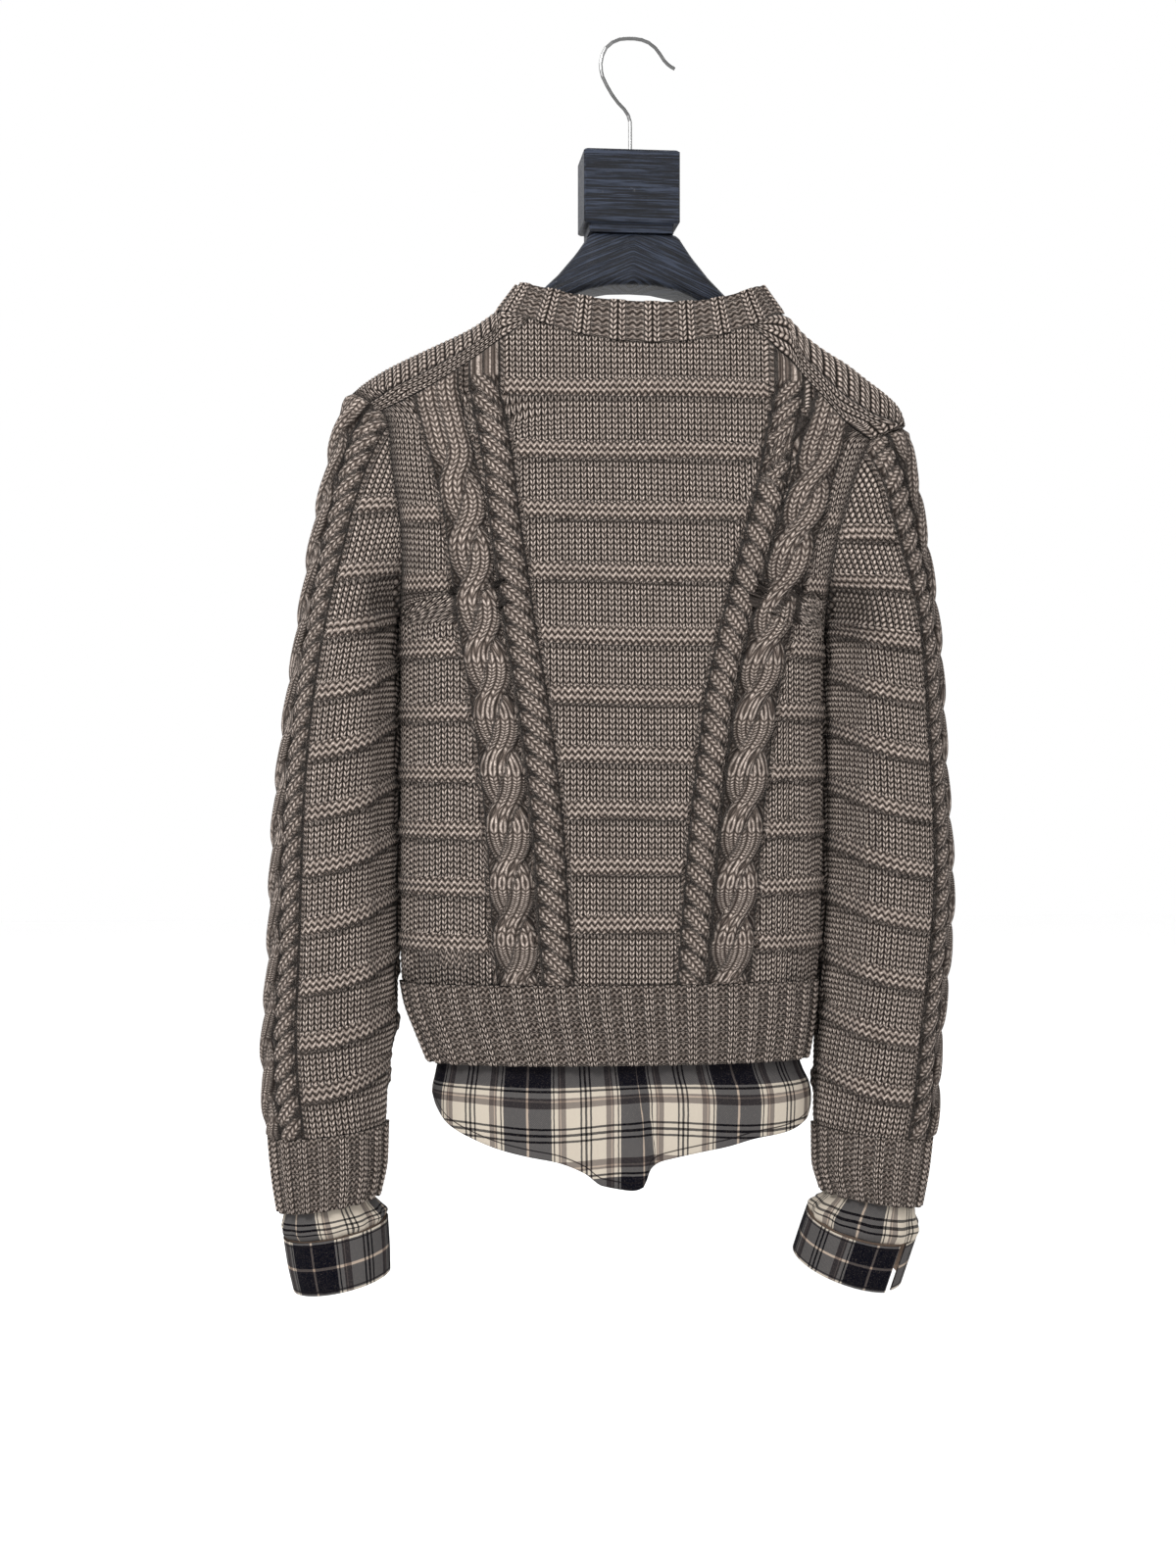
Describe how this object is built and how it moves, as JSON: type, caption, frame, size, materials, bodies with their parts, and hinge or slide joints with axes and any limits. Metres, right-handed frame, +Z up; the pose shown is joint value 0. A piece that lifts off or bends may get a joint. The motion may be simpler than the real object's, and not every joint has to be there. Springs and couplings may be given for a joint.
{
  "type": "cable-knit pullover sweater with shirt-tail hem and shirt cuffs on a wooden block hanger",
  "caption": "Chunky crew-neck cable-knit pullover with a plaid shirt tail and gathered shirt cuffs sewn in, hung by its shoulders on a wooden block hanger with a wire hook.",
  "frame": {"origin": "inside top of the wire hook, where a rail or arm holds it", "axes": "+Z up, +X to the right of a viewer facing the garment's back, -Y out of the garment's back, +Y out of its front"},
  "size_m": [0.5423, 0.138, 0.9862],
  "materials": {
    "knit_wool": "matt heather wool, chunky cable knit",
    "shirt_cotton": "matt woven cotton in a cream, navy and taupe plaid",
    "hanger_wood": "near-black open-grain stained wood, satin",
    "hook_steel": "plain steel wire"
  },
  "bodies": {
    "root": {"back_panel": "knit_wool", "front_panel": "knit_wool", "shoulder_strip_left": "knit_wool", "shoulder_strip_right": "knit_wool", "sleeve_left": "knit_wool", "sleeve_right": "knit_wool", "cuff_rib_left": "knit_wool", "cuff_rib_right": "knit_wool", "neckband": "knit_wool", "hem_rib": "knit_wool", "shirt_tail_back": "shirt_cotton", "shirt_tail_front": "shirt_cotton", "shirt_end_left": "shirt_cotton", "shirt_end_right": "shirt_cotton", "cuff_band_left": "shirt_cotton", "cuff_band_right": "shirt_cotton", "hanger_arms": "hanger_wood", "hanger_block": "hanger_wood", "hanger_hook": "hook_steel"}
  },
  "joints": []
}
